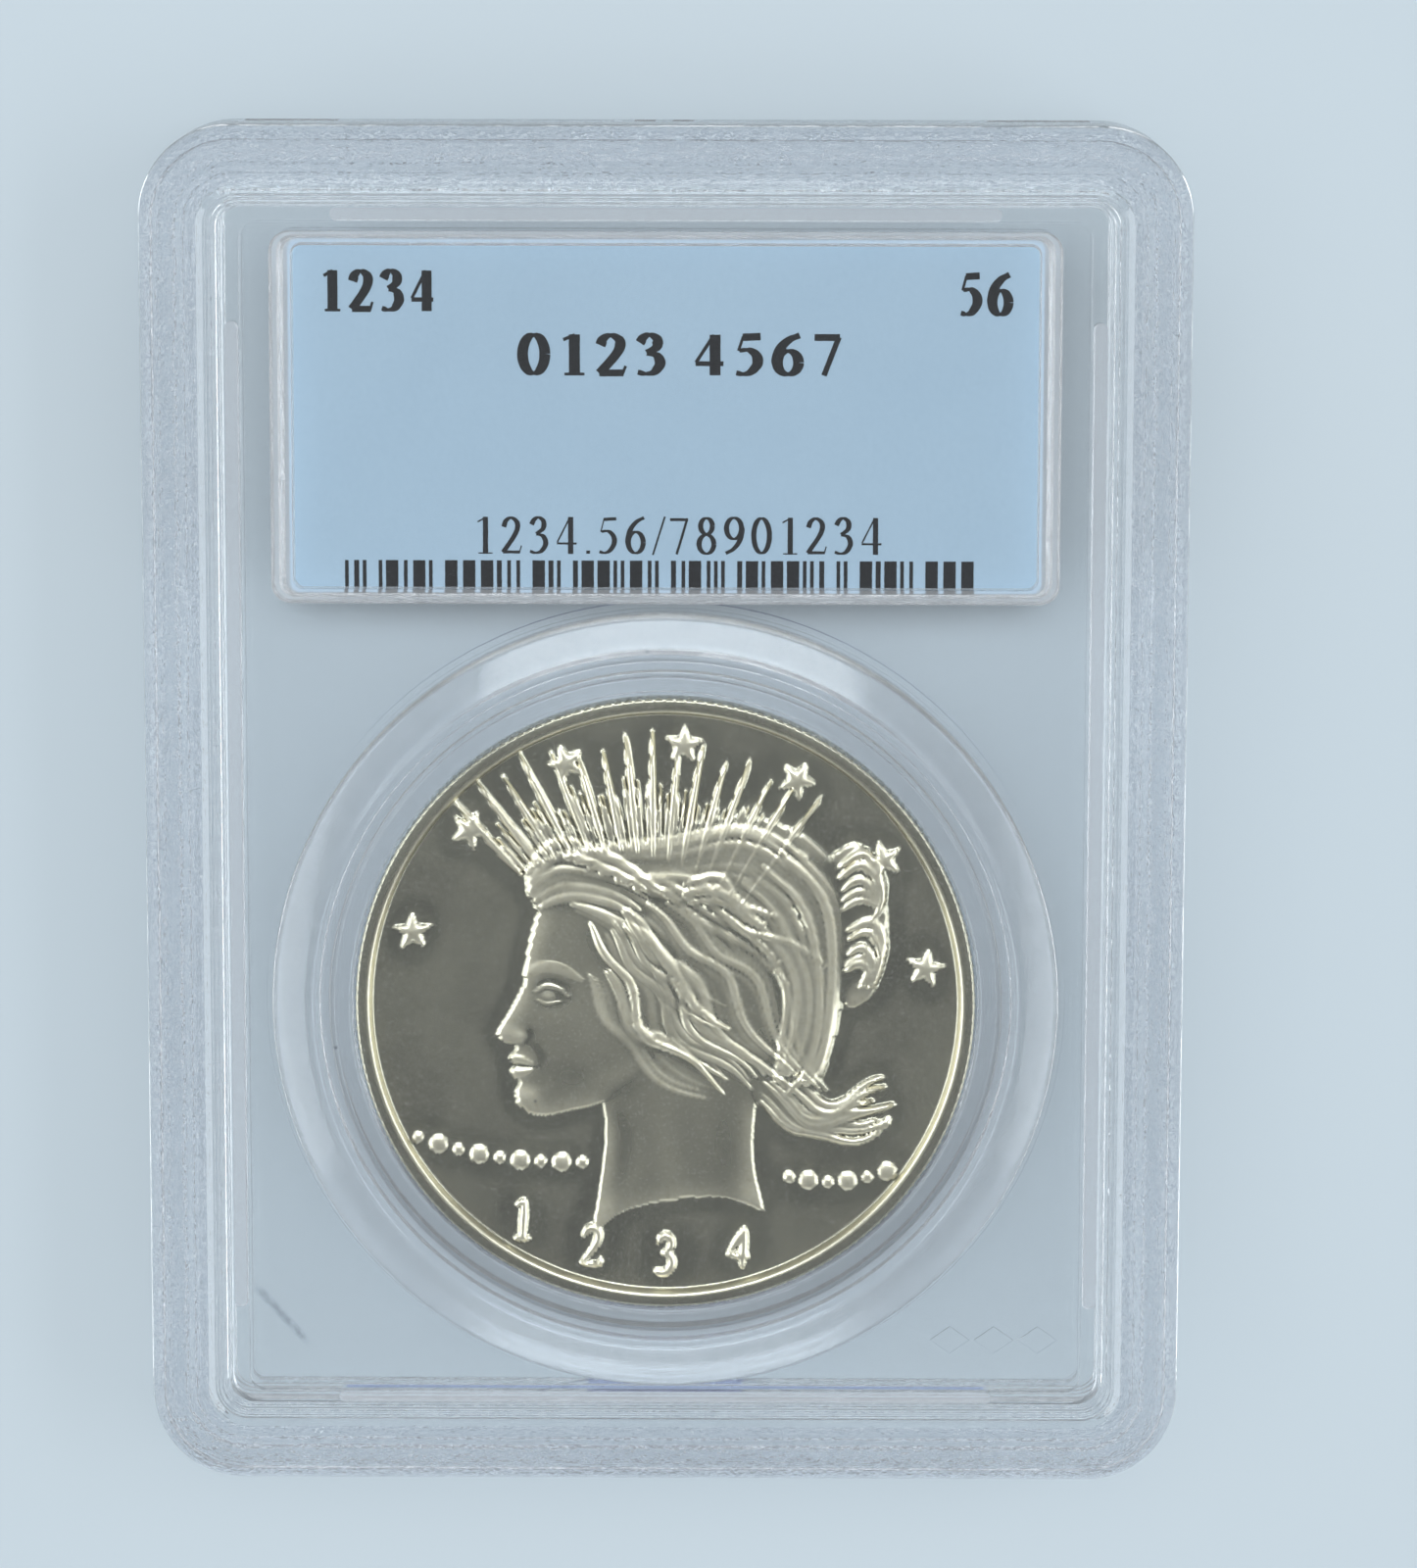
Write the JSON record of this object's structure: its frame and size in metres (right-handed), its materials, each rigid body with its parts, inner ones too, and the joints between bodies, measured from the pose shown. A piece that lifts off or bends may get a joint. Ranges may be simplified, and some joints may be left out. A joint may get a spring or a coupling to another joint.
{
  "type": "graded coin holder",
  "caption": "Sealed clear plastic holder with rounded corners, a stepped frosted rim, a framed label card at one end and a reeded coin held in a clear ring.",
  "frame": {"origin": "centre of the underside of the rear rim, where the holder rests lying on its back", "axes": "+Z out of the front window, +Y along the length towards the label end, +X to the right of the label"},
  "size_m": [0.0632, 0.0834, 0.008],
  "materials": {
    "front_shell": "clear polystyrene, polished window, frosted stepped rim",
    "rear_shell": "clear polystyrene, polished window, frosted stepped rim",
    "weld_bead_top": "melted clear plastic",
    "weld_bead_bottom": "melted clear plastic",
    "weld_bead_left": "melted clear plastic",
    "weld_bead_right": "melted clear plastic",
    "coin_ring": "clear moulded plastic, fine stippled edge",
    "coin": "toned silver with worn satin highlights",
    "label_card": "matt printed card, pale blue",
    "label_back_seal": "thin bright foil"
  },
  "bodies": {
    "holder": {"front_shell": "front_shell", "rear_shell": "rear_shell", "weld_bead_top": "weld_bead_top", "weld_bead_bottom": "weld_bead_bottom", "weld_bead_left": "weld_bead_left", "weld_bead_right": "weld_bead_right", "coin_ring": "coin_ring", "label_card": "label_card", "label_back_seal": "label_back_seal"},
    "coin": {"coin": "coin"}
  },
  "joints": [
    {"name": "coin_turn", "type": "hinge", "parent": "holder", "child": "coin", "pos_m": [0, -0.0121, 0.004], "axis": [0, 0, 1], "continuous": true}
  ]
}
